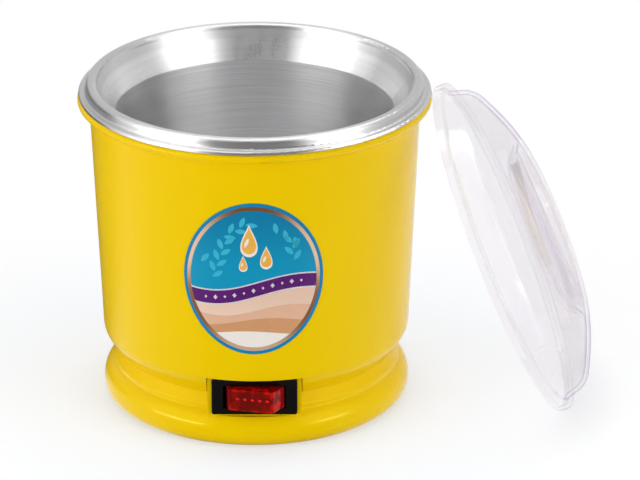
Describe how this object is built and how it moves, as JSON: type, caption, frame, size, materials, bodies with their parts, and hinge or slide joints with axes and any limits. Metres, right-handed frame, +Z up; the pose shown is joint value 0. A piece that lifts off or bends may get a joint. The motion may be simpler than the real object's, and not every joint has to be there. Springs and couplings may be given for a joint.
{
  "type": "candle wax melter",
  "caption": "Round electric wax heater: yellow two-part housing, spun aluminium pot with flared mouth, front rocker switch, oval label and a loose clear domed lid leaning on its right side.",
  "frame": {"origin": "on the axis of the pot, in the plane of the foot ring that rests on the table", "axes": "+Z up along the pot; -Y to the front, where the switch and label are; +X to the right, where the lid leans"},
  "size_m": [0.1882, 0.1362, 0.1217],
  "materials": {
    "yellow_plastic": "moulded, glossy",
    "spun_aluminium": "spun and brushed",
    "black_plastic": "moulded, satin",
    "red_plastic": "translucent, glossy",
    "clear_plastic": "clear, polished",
    "label_film": "laminated print",
    "silicone": "matt",
    "black_rubber": "matt",
    "plated_steel": "zinc plated",
    "screw_steel": "zinc plated",
    "shield_aluminium": "mill finish",
    "ribbon_alloy": "resistance alloy",
    "mica": "pressed mica",
    "ceramic_fibre": "felted fibre",
    "phenolic": "pressed phenolic",
    "white_ceramic": "glazed",
    "brass": "bright",
    "lamp_glass": "clear"
  },
  "bodies": {
    "heater": {"base_screws": "screw_steel", "base_shell": "yellow_plastic", "block_screws": "screw_steel", "body_shell": "yellow_plastic", "ceramic_beads": "white_ceramic", "clamp_screws": "screw_steel", "clip_screw": "screw_steel", "cord_bush": "black_rubber", "cord_clamp": "black_plastic", "earth_screw": "screw_steel", "earth_tag": "brass", "element_core": "mica", "element_terminals": "plated_steel", "fuse_clip": "plated_steel", "heat_shield": "shield_aluminium", "heating_ribbon": "ribbon_alloy", "insulation_pad": "ceramic_fibre", "label": "label_film", "mica_lower": "mica", "mica_upper": "mica", "plate_nut": "plated_steel", "plate_washer": "plated_steel", "pot": "spun_aluminium", "pot_stud": "plated_steel", "pressure_plate": "plated_steel", "rim_gasket": "silicone", "shield_nut": "plated_steel", "switch_blades": "brass", "switch_housing": "black_plastic", "switch_lamp": "lamp_glass", "terminal_block": "white_ceramic", "terminal_inserts": "brass", "terminal_screws": "screw_steel", "thermal_fuse": "plated_steel", "thermostat_blades": "brass", "thermostat_body": "phenolic", "thermostat_bracket": "plated_steel", "thermostat_cap": "shield_aluminium", "thermostat_screws": "screw_steel"},
    "rocker": {"switch_rocker": "red_plastic"},
    "lid_body": {"lid": "clear_plastic"}
  },
  "joints": [
    {"name": "rocker_tilt", "type": "hinge", "parent": "heater", "child": "rocker", "pos_m": [0, -0.0514, 0.0194], "axis": [0, 0, 1], "range_deg": [0, 24]},
    {"name": "lid_lift", "type": "slide", "parent": "heater", "child": "lid_body", "axis": [0, 0, 1], "range_m": [0, 0.13]}
  ]
}
